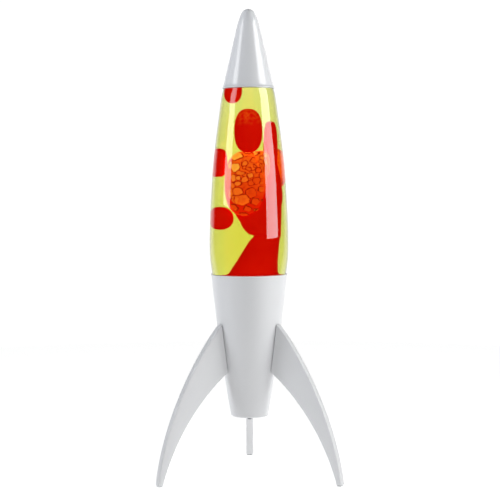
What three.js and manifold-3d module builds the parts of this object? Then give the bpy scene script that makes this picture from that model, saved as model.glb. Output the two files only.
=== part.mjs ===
// Rocket-shaped lava lamp: a nose cap, a liquid-filled glass bottle with wax, and a finned metal base.
// Millimetres, +Z up. The lamp's axis is vertical, and the table is at z = 0.
import * as THREE from "three";
import { mergeVertices } from "three/addons/utils/BufferGeometryUtils.js";
import Module from "manifold-3d";

const wasm = await Module();
wasm.setup();

// ---------------------------------------------------------------- driving dimensions
const GAP = 0.3; // clearance between pieces that touch on the real lamp
const TURN = 32; // facets round the cap, bottle and base
const TURN_SMALL = 16; // facets round the small inner pieces

// Heights above the table
const CAP_RIM_Z = 456.9;
const BASE_RIM_Z = 239.6;
const BASE_BOTTOM_Z = 71.6;
const BOTTLE_BOTTOM_Z = 203;
const BOTTLE_MOUTH_Z = 494;
const LIQUID_TOP_Z = 474;
const POOL_TOP_Z = 237;

// Nose cap: a straight cone, then an ogive, then a round tip
const CAP_RIM_R = 30.5;
const CAP_SLOPE = 0.235;
const CAP_WALL = 0.9;
const OGIVE_Z = 527;
const TIP_Z = 545;
const TIP_SLOPE = 0.445;

// Bottle
const GLASS_WALL = 2.8;
const HEEL_R = 38.6;
const HEEL_ROUND = 5;
const PUNT_RISE = 1.5;
const NECK_R = 13;

// Base cone
const BASE_RIM_R = 44.6;
const BASE_SLOPE = 0.0964;
const BASE_CURVE = 0.0002325;
const BASE_WALL = 0.9;
const HEM_ROUND = 1.8;
const FLANGE_INNER_R = 14;
const SEAT_INNER_R = 30;

// Fins
const FIN_ANGLES = { right: -30, left: -150, rear: 90 };
const FIN_THICKNESS = 8.8;
const FIN_EDGE_ROUND = 1;
const FIN_ROOT = { top: 190, bottom: 131, inside: 24 }; // the blank's root, before the cone trims it
const FOOT_R = 122.8;
const FOOT_LENGTH = 6.8;
const PAD_THICKNESS = 1;
const PAD_INSET = 0.8; // the pad's edge stands in from the foot's edge by this

// Fasteners
const SCREW_R = 1.5;
const SCREW_HEAD_R = 3;
const FIN_SCREW_Z = [164, 140];
const PLATE_SCREW_RING_R = 16.2;
const PLATE_SCREW_ANGLES = [30, 150, 270];

// Bottom plate, entry tube and lampholder
const PLATE_Z = BASE_BOTTOM_Z + BASE_WALL + GAP;
const PLATE_THICKNESS = 1.2;
const PLATE_R = 18.2;
const VENTS = 9;
const VENT_R = 1.7;
const VENT_RING_R = 10.9;
const NUT_R = 8;
const NUT_HEIGHT = { lower: 2, upper: 3 };
const TUBE_R = 5;
const TUBE_BORE_R = 3.9;
const TUBE_BELOW_PLATE = 2.6;
const INLET = { bore: 2.6, flange: 5.4, flangeHeight: 1, length: 8 };
const HOLDER_Z = 84;
const HOLDER_R = 13;
const HOLDER_NECK_R = 8.2;
const HOLDER_HEIGHT = 34;
const HOLDER_FLOOR_Z = HOLDER_Z + 13;
const TUBE_TOP_Z = HOLDER_Z + 9.5;
const SLEEVE_R = 7.9;
const CONTACT = { r: 7.6, thickness: 1.5, stud: 3, studTip: 2 };

// Crown cap on the bottle's mouth
const CROWN_TEETH = 21;
const CROWN_R = 15.2;
const CROWN_TOOTH = 0.7;
const CROWN_SKIRT = 4.5;
const CROWN_METAL = 0.5;
const CROWN_TOP_Z = BOTTLE_MOUTH_Z + 2.2;

// Bulb
const BULB_BASE_R = 6.9;
const BULB_TIP_Z = 100.5;
const BULB_COLLAR_Z = 124;
const BULB_WALL = 0.8;
const THREADS = 5;

// The tripod reaches further behind the axis than in front of it, so the axis stands off the middle
const FRONT_ANGLE = THREE.MathUtils.degToRad(-FIN_ANGLES.right);
const FRONT_REACH =
  (FOOT_R - FIN_EDGE_ROUND) * Math.sin(FRONT_ANGLE) + (FIN_THICKNESS / 2) * Math.cos(FRONT_ANGLE);
const AXIS_Y = (FRONT_REACH - FOOT_R) / 2;

// ---------------------------------------------------------------- materials
const paint = (color, roughness, metalness = 0) =>
  new THREE.MeshStandardMaterial({ color, roughness, metalness });
const clear = (color, opacity) =>
  new THREE.MeshStandardMaterial({ color, roughness: 0.05, transparent: true, opacity });

const GLOSS_WHITE = paint(0xf2f2f3, 0.15);
const SATIN_WHITE = paint(0xeeeff0, 0.4);
const GLASS = clear(0xf4f8f6, 0.3);
const LIQUID = clear(0xe3e62e, 0.45);
const WAX = paint(0xc81005, 0.35);
const FOAM = paint(0xe86a1c, 0.4);
const STEEL = paint(0xa8aaad, 0.35, 1);
const ZINC = paint(0xc9cbd0, 0.3, 1);
const BRASS = paint(0xc9a85a, 0.3, 1);
const BAKELITE = paint(0x17181a, 0.45);
const CERAMIC = paint(0xe9e4d8, 0.5);
const NYLON = paint(0x202124, 0.55);
const PAD = paint(0xdfe2e2, 0.6);
const BULB_GLASS = clear(0xf7f7f5, 0.75);
const LINER = paint(0xd9dde0, 0.6);
const SEAT = paint(0xb9bcc0, 0.45, 1);

// ---------------------------------------------------------------- solids and cuts
const at = (r, z) => new THREE.Vector2(r, z);
const radians = THREE.MathUtils.degToRad;

// A geometry as a manifold solid, with its shared corners merged and its flattened triangles left out
function solid(geometry) {
  const bare = geometry.clone();
  bare.deleteAttribute("normal");
  bare.deleteAttribute("uv");
  const merged = mergeVertices(bare, 1e-4);
  const corners = Array.from(merged.index.array);
  const kept = [];
  for (let i = 0; i < corners.length; i += 3) {
    const [a, b, c] = corners.slice(i, i + 3);
    if (a !== b && b !== c && c !== a) kept.push(a, b, c);
  }
  return new wasm.Manifold(
    new wasm.Mesh({
      numProp: 3,
      vertProperties: new Float32Array(merged.attributes.position.array),
      triVerts: new Uint32Array(kept),
    }),
  );
}

function geometryOf(manifold) {
  const { vertProperties, triVerts, numProp } = manifold.getMesh();
  const geometry = new THREE.BufferGeometry();
  const positions = new Float32Array((vertProperties.length / numProp) * 3);
  for (let i = 0; i < positions.length / 3; i++) {
    for (let k = 0; k < 3; k++) positions[3 * i + k] = vertProperties[numProp * i + k];
  }
  geometry.setAttribute("position", new THREE.BufferAttribute(positions, 3));
  geometry.setIndex(new THREE.BufferAttribute(new Uint32Array(triVerts), 1));
  geometry.computeVertexNormals();
  return geometry;
}

const cut = (body, ...tools) => tools.reduce((left, tool) => left.subtract(tool), body);
const join = (body, ...others) => others.reduce((whole, other) => whole.add(other), body);

// ---------------------------------------------------------------- shapes
// A profile of (radius, height) points turned about the Z axis
const turned = (profile, facets = TURN) => new THREE.LatheGeometry(profile, facets).rotateX(Math.PI / 2);

// The points moved sideways by a distance, to the left of the direction of travel when it is positive
function offsetProfile(points, distance) {
  return points.map((point, i) => {
    const before = points[Math.max(i - 1, 0)];
    const after = points[Math.min(i + 1, points.length - 1)];
    const along = after.clone().sub(before).normalize();
    const moved = at(point.x - along.y * distance, point.y + along.x * distance);
    if (point.x === 0) moved.set(0, point.y + Math.sign(along.x) * distance);
    return moved;
  });
}

function arc(centre, radius, from, to, steps) {
  return Array.from({ length: steps + 1 }, (_, i) => {
    const angle = radians(from + ((to - from) * i) / steps);
    return at(centre.x + radius * Math.cos(angle), centre.y + radius * Math.sin(angle));
  });
}

const cylinder = (radius, low, high, facets = TURN_SMALL) =>
  turned([at(0, low), at(radius, low), at(radius, high), at(0, high)], facets);

const pipe = (inner, outer, low, high, facets = TURN_SMALL) =>
  turned([at(inner, low), at(outer, low), at(outer, high), at(inner, high), at(inner, low)], facets);

function ellipsoid({ centre, semi }, swell = 0) {
  const ball = new THREE.SphereGeometry(1, 14, 10).rotateX(Math.PI / 2);
  ball.scale(semi[0] + swell, semi[1] + swell, semi[2] + swell);
  return ball.translate(...centre);
}

// A flat outline with holes, as a plate between two heights
function plate(outline, holes, low, high) {
  const shape = new THREE.Shape(outline);
  shape.holes = holes.map((hole) => new THREE.Path(hole));
  const geometry = new THREE.ExtrudeGeometry(shape, { depth: high - low, bevelEnabled: false });
  return geometry.translate(0, 0, low);
}

function ringPoints(radius, count, x = 0, y = 0) {
  return Array.from({ length: count }, (_, i) => {
    const angle = (2 * Math.PI * i) / count;
    return at(x + radius * Math.cos(angle), y + radius * Math.sin(angle));
  });
}

// ---------------------------------------------------------------- profiles
// Outside of the nose cap, from its rim up to its tip
function capOutline() {
  const ogiveR = CAP_RIM_R - CAP_SLOPE * (OGIVE_Z - CAP_RIM_Z);
  const rise = TIP_Z - OGIVE_Z;
  const tipR = ogiveR - ((CAP_SLOPE + TIP_SLOPE) / 2) * rise;
  const ogive = new THREE.QuadraticBezierCurve(
    at(ogiveR, OGIVE_Z),
    at(ogiveR - (CAP_SLOPE * rise) / 2, OGIVE_Z + rise / 2),
    at(tipR, TIP_Z),
  );
  const tipCentreZ = TIP_Z - TIP_SLOPE * tipR;
  const tipRadius = Math.hypot(tipR, TIP_Z - tipCentreZ);
  const start = THREE.MathUtils.radToDeg(Math.atan(TIP_SLOPE));
  const tip = arc(at(0, tipCentreZ), tipRadius, start, 90, 4).slice(1, -1);
  return [at(CAP_RIM_R, CAP_RIM_Z), ...ogive.getPoints(4), ...tip, at(0, tipCentreZ + tipRadius)];
}

// Outside of the bottle, from the middle of its bottom up to its mouth
function bottleOutline() {
  const heelCentre = at(HEEL_R - HEEL_ROUND, BOTTLE_BOTTOM_Z + HEEL_ROUND);
  const side = new THREE.SplineCurve([
    at(HEEL_R, BOTTLE_BOTTOM_Z + HEEL_ROUND),
    at(40.3, 222),
    at(43.5, BASE_RIM_Z),
    at(46.4, 266),
    at(45.5, 311),
    at(41.9, 368),
    at(34.9, 424.7),
    at(29.3, CAP_RIM_Z),
    at(17.5, 479),
    at(NECK_R, 488),
  ]);
  return [
    at(0, BOTTLE_BOTTOM_Z + PUNT_RISE),
    at(28, BOTTLE_BOTTOM_Z + 0.6),
    ...arc(heelCentre, HEEL_ROUND, -90, 0, 2).slice(0, -1),
    ...side.getPoints(12),
    at(NECK_R, BOTTLE_MOUTH_Z),
  ];
}

// Outer radius of the base cone at a height
function baseRadius(z) {
  const drop = BASE_RIM_Z - z;
  return BASE_RIM_R - BASE_SLOPE * drop - BASE_CURVE * drop * drop;
}

const baseTilt = (z) => Math.atan(BASE_SLOPE + 2 * BASE_CURVE * (BASE_RIM_Z - z));

// Outside of the base cone between two heights, going up, moved out by a distance
function baseSide(low, high, outwards, steps = 6) {
  return Array.from({ length: steps + 1 }, (_, i) => {
    const z = low + ((high - low) * i) / steps;
    return at(baseRadius(z) + outwards, z);
  });
}

// ---------------------------------------------------------------- the group, and the frame on the lamp's axis
const lamp = new THREE.Group();
const onAxis = new THREE.Group();
onAxis.position.y = AXIS_Y;
lamp.add(onAxis);

function add(name, geometry, material, parent = onAxis) {
  const mesh = new THREE.Mesh(geometry, material);
  mesh.name = name;
  parent.add(mesh);
  return mesh;
}

// ---------------------------------------------------------------- nose cap, crown cap and liner
const capOuter = capOutline();
const capInner = offsetProfile(capOuter, CAP_WALL);
add("nose_cap", turned([...capInner.reverse(), ...capOuter]), GLOSS_WHITE);

function crownCap() {
  const steps = CROWN_TEETH * 3;
  const outline = Array.from({ length: steps }, (_, i) => {
    const angle = (2 * Math.PI * i) / steps;
    const r = CROWN_R + CROWN_TOOTH * Math.cos(CROWN_TEETH * angle);
    return at(r * Math.cos(angle), r * Math.sin(angle));
  });
  const skirtZ = BOTTLE_MOUTH_Z - CROWN_SKIRT;
  const skirt = solid(plate(outline, [], skirtZ, CROWN_TOP_Z));
  const hollow = cylinder(NECK_R + 0.5, skirtZ - 1, CROWN_TOP_Z - CROWN_METAL);
  return geometryOf(cut(skirt, solid(hollow)));
}
add("crown_cap", crownCap(), ZINC);
add("crown_liner", cylinder(NECK_R, BOTTLE_MOUTH_Z + GAP, CROWN_TOP_Z - CROWN_METAL - GAP), LINER);

// ---------------------------------------------------------------- bottle
const bottleOuter = bottleOutline();
const bottleInner = offsetProfile(bottleOuter, GLASS_WALL);
bottleInner.at(-1).y = BOTTLE_MOUTH_Z;
add("bottle", turned([...bottleOuter, ...bottleInner.slice().reverse()]), GLASS);

// ---------------------------------------------------------------- wax and liquid
// Height, sideways lean and radius of the column that rises from the pool
const COLUMN = [
  [226, 3.5, 30],
  [POOL_TOP_Z, 3.5, 28],
  [243, 3.8, 22.3],
  [257, 7.2, 18.5],
  [271, 11.6, 15],
  [285.5, 16, 12.8],
  [302, 11, 19],
  [317, 6.7, 22.4],
  [337, 6.5, 22.5],
  [352, 8, 19],
];
const FINGER = { centre: [16.8, 5, 360], semi: [8.6, 9, 57] };
const SHOULDER = { centre: [21.5, 4, 360], semi: [8.6, 11, 26] };
const FOAM_HEAD = { centre: [-1.5, -1, 346], semi: [22, 22, 37] };
const BLOBS = {
  wax_blob_top: { centre: [-15, -3, 455], semi: [8.7, 8.4, 16] },
  wax_blob_middle: { centre: [-0.3, -13, 407], semi: [13.6, 11.8, 25.5] },
  wax_blob_left: { centre: [-27.8, 8, 369], semi: [8.3, 8.2, 16] },
  wax_blob_low: { centre: [-26.4, 0, 304.2], semi: [12.7, 12.6, 12.8] },
};
const COIL_R = 22;
const COIL_WIRE_R = 2.2;
const DUCT_R = 0.8;
const POOL_BLANK_R = 60; // wider than the bottle, which trims it

// The space inside the glass, up to a height
function contents(top) {
  const lining = offsetProfile(bottleOuter, GLASS_WALL + GAP);
  const next = lining.findIndex((point) => point.y > top);
  const share = (top - lining[next - 1].y) / (lining[next].y - lining[next - 1].y);
  const edge = lining[next - 1].clone().lerp(lining[next], share);
  return solid(turned([...lining.slice(0, next), edge, at(0, top)]));
}

// A turned column whose middle leans sideways with height
function leaningColumn(swell) {
  const profile = new THREE.SplineCurve(COLUMN.map(([z, , r]) => at(r + swell, z)));
  const leans = new THREE.SplineCurve(COLUMN.map(([z, lean]) => at(lean, z)));
  const steps = 10;
  const rows = profile.getPoints(steps);
  const lowest = rows[0].y;
  const highest = rows.at(-1).y + swell;
  const column = turned([at(0, lowest), ...rows, at(0, highest)], TURN_SMALL);
  const middle = leans.getPoints(steps);
  const leanAt = (z) => {
    const above = middle.findIndex((point) => point.y >= z);
    if (above < 1) return above === 0 ? middle[0].x : middle.at(-1).x;
    const [a, b] = [middle[above - 1], middle[above]];
    return a.x + ((b.x - a.x) * (z - a.y)) / (b.y - a.y);
  };
  const { position } = column.attributes;
  for (let i = 0; i < position.count; i++) {
    position.setX(i, position.getX(i) + leanAt(position.getZ(i)));
  }
  return solid(column);
}

// Everything that is one mass of wax: the pool, the column, its finger and the shoulder beside it
function waxMass(swell) {
  const pool = solid(cylinder(POOL_BLANK_R, BOTTLE_BOTTOM_Z - 10, POOL_TOP_Z + swell, TURN));
  const lumps = [FINGER, SHOULDER].map((lump) => solid(ellipsoid(lump, swell)));
  return join(pool, leaningColumn(swell), ...lumps);
}

function coil(swell) {
  const ring = new THREE.TorusGeometry(COIL_R, COIL_WIRE_R + swell, 6, 20);
  return ring.translate(0, 0, BOTTLE_BOTTOM_Z + PUNT_RISE + GLASS_WALL + 2 * GAP + COIL_WIRE_R);
}

const bottleSpace = contents(LIQUID_TOP_Z);
const coilSlot = pipe(COIL_R - 1, COIL_R + 1, BOTTLE_BOTTOM_Z - 5, BOTTLE_BOTTOM_Z + 8, 20);
const coilHollow = join(solid(coil(GAP)), solid(coilSlot));
const column = cut(waxMass(0).intersect(bottleSpace), coilHollow);
const foam = cut(solid(ellipsoid(FOAM_HEAD)), waxMass(GAP));

// A fine duct from a hollow in the liquid up to its surface keeps the hollow open
function duct(x, y, z) {
  return solid(cylinder(DUCT_R, z, LIQUID_TOP_Z + 1, 6).translate(x, y, 0));
}

const hollows = [FOAM_HEAD, ...Object.values(BLOBS)].map((lump) => solid(ellipsoid(lump, GAP)));
const ducts = [duct(-8, 8, FOAM_HEAD.centre[2]), ...Object.values(BLOBS).map((blob) => duct(...blob.centre))];
const liquid = cut(bottleSpace, waxMass(GAP), ...hollows, ...ducts);

add("liquid", geometryOf(liquid), LIQUID);
add("wax_column", geometryOf(column), WAX);
add("wax_foam", geometryOf(foam), FOAM);
for (const [name, blob] of Object.entries(BLOBS)) add(name, ellipsoid(blob), WAX);
add("heat_coil", coil(0), STEEL);

// ---------------------------------------------------------------- seat ring under the bottle
const seatTop = BOTTLE_BOTTOM_Z + HEEL_ROUND - 0.5;
const seatBottom = BOTTLE_BOTTOM_Z - 3.5;
const shellInside = -(BASE_WALL + GAP);
add(
  "bottle_seat",
  turned([
    at(SEAT_INNER_R, seatBottom),
    ...baseSide(seatBottom, seatTop, shellInside, 1),
    at(HEEL_R + GAP, seatTop),
    at(HEEL_R - 0.4, BOTTLE_BOTTOM_Z - GAP),
    at(SEAT_INNER_R, BOTTLE_BOTTOM_Z - GAP),
    at(SEAT_INNER_R, seatBottom),
  ]),
  SEAT,
);

// ---------------------------------------------------------------- screws
const SHANK_LENGTH = 10;
const HEAD_HEIGHT = 1.8;

// A pan-head screw along +Z: its head is under z = 0 and its shank above
function screw(length) {
  const body = turned(
    [
      at(0, -HEAD_HEIGHT),
      at(SCREW_HEAD_R * 0.75, -HEAD_HEIGHT),
      at(SCREW_HEAD_R, -HEAD_HEIGHT * 0.5),
      at(SCREW_HEAD_R, 0),
      at(SCREW_R, 0),
      at(SCREW_R, length - 1),
      at(0, length),
    ],
    10,
  );
  const slot = (width, depth) => new THREE.BoxGeometry(width, depth, 2).translate(0, 0, -HEAD_HEIGHT);
  return geometryOf(cut(solid(body), solid(slot(3.2, 0.7)), solid(slot(0.7, 3.2))));
}

// The place of a fin screw in its fin's frame: radial is +X, and the screw points out through the wall
function placeFinScrew(object, z) {
  object.rotation.set(0, Math.PI / 2 + baseTilt(z), 0);
  object.position.set(baseRadius(z) - BASE_WALL - 2 * GAP, 0, z);
  return object;
}

function finScrewHole(z) {
  const hole = new THREE.Mesh(cylinder(SCREW_R + GAP, -1, SHANK_LENGTH + 0.6, 12));
  placeFinScrew(hole, z).updateMatrix();
  return hole.geometry.applyMatrix4(hole.matrix);
}

// ---------------------------------------------------------------- fins, pads and their screws
function finOutline() {
  const footZ = PAD_THICKNESS + GAP;
  const outer = new THREE.CubicBezierCurve(
    at(38, 183.5),
    at(61.7, 159.3),
    at(113.1, 82.5),
    at(FOOT_R, footZ),
  );
  const innerCentre = at(-121.3, -72);
  const innerRadius = 249;
  const footAngle = Math.asin((footZ - innerCentre.y) / innerRadius);
  const rootAngle = Math.asin((FIN_ROOT.bottom - 4 - innerCentre.y) / innerRadius);
  const toDegrees = THREE.MathUtils.radToDeg;
  const inner = arc(innerCentre, innerRadius, toDegrees(footAngle), toDegrees(rootAngle), 12);
  inner[0].x = FOOT_R - FOOT_LENGTH;
  const { top, bottom, inside } = FIN_ROOT;
  return [at(inside, top), ...outer.getPoints(14), ...inner, at(inside, bottom)];
}

function finPlate() {
  const round = FIN_EDGE_ROUND;
  const geometry = new THREE.ExtrudeGeometry(new THREE.Shape(finOutline()), {
    depth: FIN_THICKNESS - 2 * round,
    bevelThickness: round,
    bevelSize: round,
    bevelOffset: -round,
    bevelSegments: 1,
  });
  geometry.translate(0, 0, round - FIN_THICKNESS / 2).rotateX(Math.PI / 2);
  const wall = turned([at(0, 60), ...baseSide(60, 200, GAP, 10), at(0, 200)]);
  return cut(solid(geometry), solid(wall), ...FIN_SCREW_Z.map((z) => solid(finScrewHole(z))));
}

const finGeometry = geometryOf(finPlate());
const padGeometry = new THREE.BoxGeometry(
  FOOT_LENGTH - 2 * PAD_INSET,
  FIN_THICKNESS - 2 * PAD_INSET,
  PAD_THICKNESS,
);
padGeometry.translate(FOOT_R - FOOT_LENGTH / 2, 0, PAD_THICKNESS / 2);
const finScrewGeometry = screw(SHANK_LENGTH);

for (const [side, angle] of Object.entries(FIN_ANGLES)) {
  const finFrame = new THREE.Group();
  finFrame.rotation.z = radians(angle);
  onAxis.add(finFrame);
  add(`fin_${side}`, finGeometry, SATIN_WHITE, finFrame);
  add(`foot_pad_${side}`, padGeometry, PAD, finFrame);
  const rows = ["upper", "lower"];
  FIN_SCREW_Z.forEach((z, i) => {
    placeFinScrew(add(`fin_screw_${side}_${rows[i]}`, finScrewGeometry, ZINC, finFrame), z);
  });
}

// ---------------------------------------------------------------- base shell
function baseShell() {
  const wall = -BASE_WALL;
  const hemCentre = at(baseRadius(BASE_BOTTOM_Z + HEM_ROUND) - HEM_ROUND, BASE_BOTTOM_Z + HEM_ROUND);
  const outside = baseSide(BASE_BOTTOM_Z + HEM_ROUND, BASE_RIM_Z, 0, 6);
  const inside = baseSide(BASE_BOTTOM_Z + HEM_ROUND, BASE_RIM_Z, wall, 4).reverse();
  const shell = turned([
    at(FLANGE_INNER_R, BASE_BOTTOM_Z),
    ...arc(hemCentre, HEM_ROUND, -90, -30, 2),
    ...outside,
    ...inside,
    at(hemCentre.x, BASE_BOTTOM_Z + BASE_WALL),
    at(FLANGE_INNER_R, BASE_BOTTOM_Z + BASE_WALL),
    at(FLANGE_INNER_R, BASE_BOTTOM_Z),
  ]);
  const finHoles = Object.values(FIN_ANGLES).flatMap((angle) =>
    FIN_SCREW_Z.map((z) => solid(finScrewHole(z).rotateZ(radians(angle)))),
  );
  const plateHoles = PLATE_SCREW_ANGLES.map((angle) =>
    solid(
      cylinder(SCREW_R + GAP, BASE_BOTTOM_Z - 1, BASE_BOTTOM_Z + 2, 12)
        .translate(PLATE_SCREW_RING_R, 0, 0)
        .rotateZ(radians(angle)),
    ),
  );
  return geometryOf(cut(solid(shell), ...finHoles, ...plateHoles));
}
add("base_shell", baseShell(), SATIN_WHITE);

// ---------------------------------------------------------------- bottom plate and its screws
function bottomPlate() {
  const holes = [ringPoints(TUBE_R + GAP, 12)];
  for (let i = 0; i < VENTS; i++) {
    const angle = (2 * Math.PI * (i + 0.5)) / VENTS;
    holes.push(ringPoints(VENT_R, 8, VENT_RING_R * Math.cos(angle), VENT_RING_R * Math.sin(angle)));
  }
  for (const degrees of PLATE_SCREW_ANGLES) {
    const angle = radians(degrees);
    const [x, y] = [PLATE_SCREW_RING_R * Math.cos(angle), PLATE_SCREW_RING_R * Math.sin(angle)];
    holes.push(ringPoints(SCREW_R + GAP, 8, x, y));
  }
  return plate(ringPoints(PLATE_R, 24), holes, PLATE_Z, PLATE_Z + PLATE_THICKNESS);
}
add("bottom_plate", bottomPlate(), STEEL);

const plateScrewGeometry = screw(6);
PLATE_SCREW_ANGLES.forEach((degrees, i) => {
  const mesh = add(`plate_screw_${i + 1}`, plateScrewGeometry, ZINC);
  const angle = radians(degrees);
  mesh.position.set(
    PLATE_SCREW_RING_R * Math.cos(angle),
    PLATE_SCREW_RING_R * Math.sin(angle),
    BASE_BOTTOM_Z - GAP,
  );
});

// ---------------------------------------------------------------- entry tube, nuts and cord inlet
const hexNut = (low, high) => plate(ringPoints(NUT_R, 6), [ringPoints(TUBE_R + GAP, 12)], low, high);
const underPlate = PLATE_Z - GAP;
const onPlate = PLATE_Z + PLATE_THICKNESS + GAP;
add("tube_nut_lower", hexNut(underPlate - NUT_HEIGHT.lower, underPlate), ZINC);
add("tube_nut_upper", hexNut(onPlate, onPlate + NUT_HEIGHT.upper), ZINC);
add("entry_tube", pipe(TUBE_BORE_R, TUBE_R, PLATE_Z - TUBE_BELOW_PLATE, TUBE_TOP_Z), ZINC);

function cordInlet() {
  const collar = PLATE_Z - TUBE_BELOW_PLATE - GAP;
  const low = collar - INLET.flangeHeight;
  const high = collar + INLET.length;
  return turned(
    [
      at(INLET.bore, low),
      at(INLET.flange, low),
      at(INLET.flange, collar),
      at(TUBE_BORE_R - GAP, collar),
      at(TUBE_BORE_R - GAP, high),
      at(INLET.bore, high),
      at(INLET.bore, low),
    ],
    TURN_SMALL,
  );
}
add("cord_inlet", cordInlet(), NYLON);

// ---------------------------------------------------------------- lampholder
const HOLDER_TOP_Z = HOLDER_Z + HOLDER_HEIGHT;
add(
  "lampholder",
  turned(
    [
      at(TUBE_R + GAP, HOLDER_Z),
      at(HOLDER_NECK_R, HOLDER_Z),
      at(HOLDER_NECK_R, HOLDER_Z + 6),
      at(12, HOLDER_Z + 9),
      at(HOLDER_R, HOLDER_Z + 12),
      at(HOLDER_R, HOLDER_TOP_Z - 1),
      at(HOLDER_R - 1, HOLDER_TOP_Z),
      at(SLEEVE_R + GAP, HOLDER_TOP_Z),
      at(SLEEVE_R + GAP, HOLDER_FLOOR_Z),
      at(TUBE_R + GAP, HOLDER_FLOOR_Z),
      at(TUBE_R + GAP, HOLDER_Z),
    ],
    TURN_SMALL,
  ),
  BAKELITE,
);
const blockTop = HOLDER_FLOOR_Z + GAP + CONTACT.thickness;
add(
  "contact_block",
  turned(
    [
      at(0, HOLDER_FLOOR_Z + GAP),
      at(CONTACT.r, HOLDER_FLOOR_Z + GAP),
      at(CONTACT.r, blockTop),
      at(CONTACT.stud, blockTop),
      at(CONTACT.studTip, BULB_TIP_Z - GAP),
      at(0, BULB_TIP_Z - GAP),
    ],
    TURN_SMALL,
  ),
  CERAMIC,
);
add("screw_sleeve", pipe(BULB_BASE_R + GAP, SLEEVE_R, blockTop + GAP, HOLDER_TOP_Z - 2), BRASS);

// ---------------------------------------------------------------- bulb
function bulbBase() {
  const start = BULB_TIP_Z + 5;
  const pitch = 2.8;
  const thread = [];
  for (let i = 0; i < THREADS; i++) {
    thread.push(at(BULB_BASE_R - 0.6, start + pitch * i), at(BULB_BASE_R, start + pitch * (i + 0.5)));
  }
  return turned(
    [
      at(0, BULB_TIP_Z),
      at(2, BULB_TIP_Z),
      at(2.2, BULB_TIP_Z + 1),
      at(4.6, BULB_TIP_Z + 3.6),
      ...thread,
      at(BULB_BASE_R - 0.6, start + pitch * THREADS),
      at(BULB_BASE_R - 0.3, BULB_COLLAR_Z),
      at(0, BULB_COLLAR_Z),
    ],
    TURN_SMALL,
  );
}
add("bulb_base", bulbBase(), BRASS);

function bulbEnvelope() {
  const neckZ = BULB_COLLAR_Z + GAP;
  const side = new THREE.SplineCurve([
    at(6.2, neckZ),
    at(7.2, neckZ + 8),
    at(14.5, neckZ + 24),
    at(22.5, neckZ + 37),
    at(25, neckZ + 47),
  ]).getPoints(6);
  const face = new THREE.SplineCurve([
    at(25, neckZ + 47),
    at(23.2, neckZ + 53),
    at(14, neckZ + 58.5),
    at(0, neckZ + 61),
  ]).getPoints(3);
  const outside = [...side, ...face.slice(1)];
  const inside = offsetProfile(outside, BULB_WALL).reverse();
  return turned([...inside, ...outside], 24);
}
add("bulb_glass", bulbEnvelope(), BULB_GLASS);

const stemZ = BULB_COLLAR_Z + GAP;
add(
  "bulb_stem",
  turned(
    [at(0, stemZ), at(4.6, stemZ), at(2.4, stemZ + 5), at(1.8, stemZ + 26), at(0, stemZ + 28)],
    12,
  ),
  GLASS,
);

export default lamp;
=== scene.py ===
"""Looks for the rocket-shaped lava lamp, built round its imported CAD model. Metres, +Z up."""

import math

import bmesh
import bpy
import numpy as np
from mathutils import Matrix, Vector

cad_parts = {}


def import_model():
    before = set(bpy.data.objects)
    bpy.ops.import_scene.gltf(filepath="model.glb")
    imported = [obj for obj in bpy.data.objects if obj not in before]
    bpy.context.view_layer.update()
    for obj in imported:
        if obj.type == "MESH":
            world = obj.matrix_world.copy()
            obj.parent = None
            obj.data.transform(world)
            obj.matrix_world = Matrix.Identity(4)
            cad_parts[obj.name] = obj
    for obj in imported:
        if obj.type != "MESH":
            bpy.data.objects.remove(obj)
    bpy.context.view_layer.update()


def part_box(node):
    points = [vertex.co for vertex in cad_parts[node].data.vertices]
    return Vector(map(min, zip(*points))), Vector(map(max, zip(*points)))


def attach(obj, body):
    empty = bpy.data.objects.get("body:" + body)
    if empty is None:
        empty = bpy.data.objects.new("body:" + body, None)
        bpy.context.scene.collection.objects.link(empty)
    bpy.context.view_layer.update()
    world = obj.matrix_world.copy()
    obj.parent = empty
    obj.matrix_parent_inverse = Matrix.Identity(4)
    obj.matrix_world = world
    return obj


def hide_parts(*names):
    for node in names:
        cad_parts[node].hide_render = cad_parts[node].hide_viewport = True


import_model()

# -------------------- sizes, in millimetres unless named otherwise
MM = 0.001
BOTTLE_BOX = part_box("bottle")
AXIS = Vector(((BOTTLE_BOX[0].x + BOTTLE_BOX[1].x) / 2, (BOTTLE_BOX[0].y + BOTTLE_BOX[1].y) / 2, 0))


def lowest(node):
    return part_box(node)[0].z / MM


def highest(node):
    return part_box(node)[1].z / MM


def heights(node):
    return lowest(node), highest(node)


CAP_RIM_Z = lowest("nose_cap")
BASE_RIM_Z = highest("base_shell")
BASE_BOTTOM_Z = lowest("base_shell")
BOTTLE_BOTTOM_Z = lowest("bottle")
BOTTLE_MOUTH_Z = highest("bottle")
LIQUID_TOP_Z = highest("liquid")

CAP_RIM_R, CAP_SLOPE, CAP_WALL = 30.5, 0.235, 0.9
OGIVE_Z, TIP_Z, TIP_SLOPE = 527, 545, 0.445
GLASS_WALL, HEEL_R, HEEL_ROUND, PUNT_RISE, NECK_R = 2.8, 38.6, 5, 1.5, 13
BASE_RIM_R, BASE_SLOPE, BASE_CURVE, BASE_WALL = 44.6, 0.0964, 0.0002325, 0.9
HEM_ROUND, FLANGE_INNER_R = 1.8, 14
FIN_ANGLES = {"right": -30, "left": -150, "rear": 90}
FIN_THICKNESS, FIN_EDGE_ROUND = 8.8, 1.4
FOOT_R, FOOT_LENGTH, PAD_INSET = 122.8, 6.8, 0.8
FIN_ROOT_LOW_Z = 127
GAP = 0.3
SEGMENTS = 144


# -------------------- mesh helpers
def link(name, mesh):
    piece = bpy.data.objects.new(name, mesh)
    bpy.context.scene.collection.objects.link(piece)
    return piece


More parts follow.
